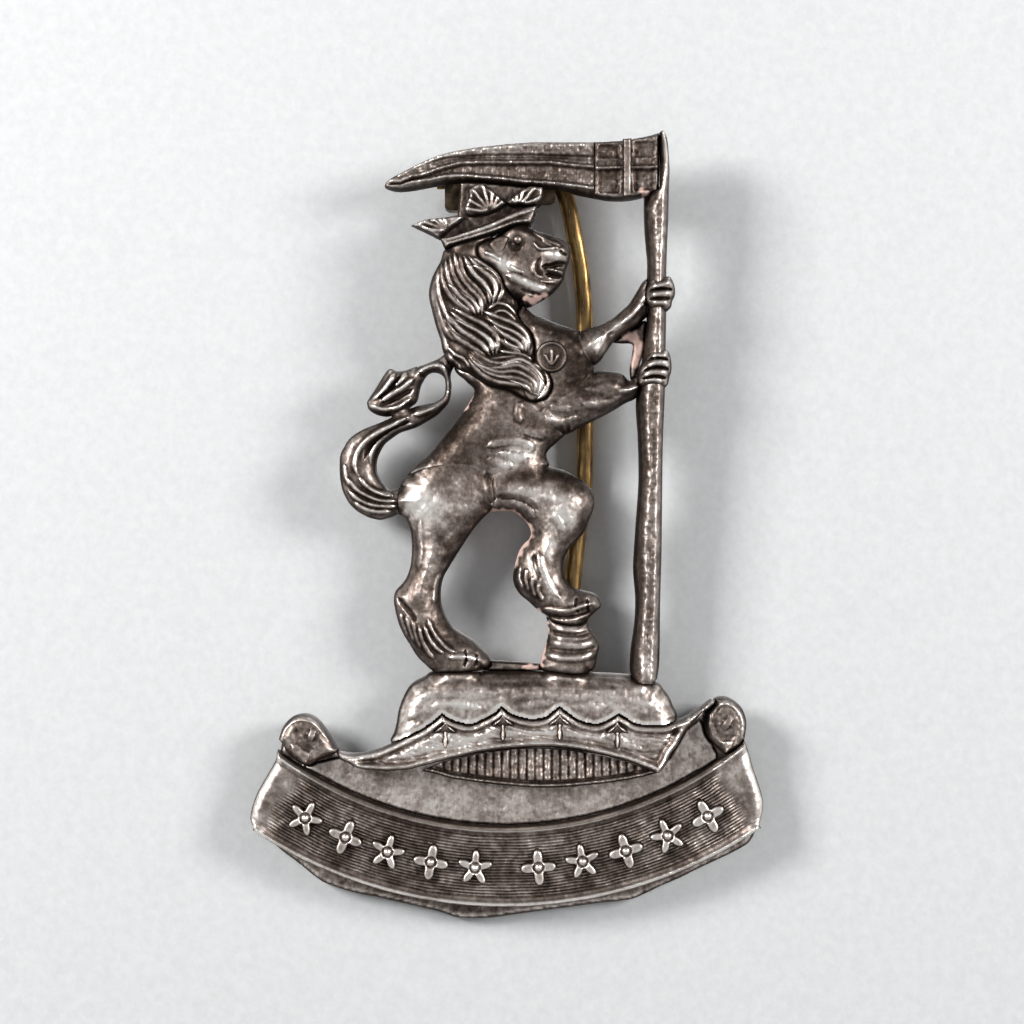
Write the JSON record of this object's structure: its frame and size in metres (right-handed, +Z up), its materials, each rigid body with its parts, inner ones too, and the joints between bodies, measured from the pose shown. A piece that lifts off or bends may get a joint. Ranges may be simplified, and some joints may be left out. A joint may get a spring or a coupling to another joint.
{
  "type": "cap badge",
  "caption": "Struck metal cap badge: a lion holding a scythe, over a fur-trimmed cap and a curved scroll, with fixing lugs and a split pin at the back.",
  "frame": {"origin": "centre of the badge's box, on its back plane", "axes": "+Z up as worn, -Y out of the face, +X to the right of someone looking at the face"},
  "size_m": [0.0382, 0.0078, 0.0588],
  "materials": {
    "oxidised_silver": "oxidised, dark in the recesses, satin on the high points",
    "worn_silver": "rubbed bright on the high points, toned below",
    "dark_recess": "dark oxide",
    "lug_bronze": "dull dark bronze",
    "pin_brass": "drawn wire, toned"
  },
  "bodies": {
    "badge": {"blade": "oxidised_silver", "blade_socket": "oxidised_silver", "staff": "oxidised_silver", "fleuron_left": "oxidised_silver", "fleuron_middle": "oxidised_silver", "fleuron_right": "oxidised_silver", "mane": "oxidised_silver", "foreleg_upper": "oxidised_silver", "foreleg_lower": "oxidised_silver", "torso": "oxidised_silver", "roundel": "oxidised_silver", "tail": "oxidised_silver", "tail_tuft": "oxidised_silver", "cap_cushion": "oxidised_silver", "cap_lens": "oxidised_silver", "ground_bar": "oxidised_silver", "scroll_base": "oxidised_silver", "scroll_field": "oxidised_silver", "scroll_ribbon": "oxidised_silver", "scroll_curl_left": "oxidised_silver", "scroll_curl_right": "oxidised_silver", "paw_upper": "oxidised_silver", "paw_lower": "oxidised_silver", "blade_collar": "worn_silver", "crown_band": "worn_silver", "head": "worn_silver", "eye": "worn_silver", "ear": "worn_silver", "lock_nape": "worn_silver", "lock_collar": "worn_silver", "lock_centre": "worn_silver", "lock_chest": "worn_silver", "lock_shoulder": "worn_silver", "paw_web": "worn_silver", "hind_leg_standing": "worn_silver", "hind_leg_raised": "worn_silver", "stump": "worn_silver", "cap_brim": "worn_silver", "ermine_spot_1": "worn_silver", "ermine_spot_2": "worn_silver", "ermine_spot_3": "worn_silver", "ermine_spot_4": "worn_silver", "ribbon_motif_01": "worn_silver", "ribbon_motif_02": "worn_silver", "ribbon_motif_03": "worn_silver", "ribbon_motif_04": "worn_silver", "ribbon_motif_05": "worn_silver", "ribbon_motif_06": "worn_silver", "ribbon_motif_07": "worn_silver", "ribbon_motif_08": "worn_silver", "ribbon_motif_09": "worn_silver", "ribbon_motif_10": "worn_silver", "crown_web": "dark_recess", "lug_left": "lug_bronze", "lug_right": "lug_bronze"},
    "split_pin": {"split_pin": "pin_brass"}
  },
  "joints": [
    {"name": "pin_withdraw", "type": "slide", "parent": "badge", "child": "split_pin", "axis": [1, 0, 0], "range_m": [0, 0.01]}
  ]
}
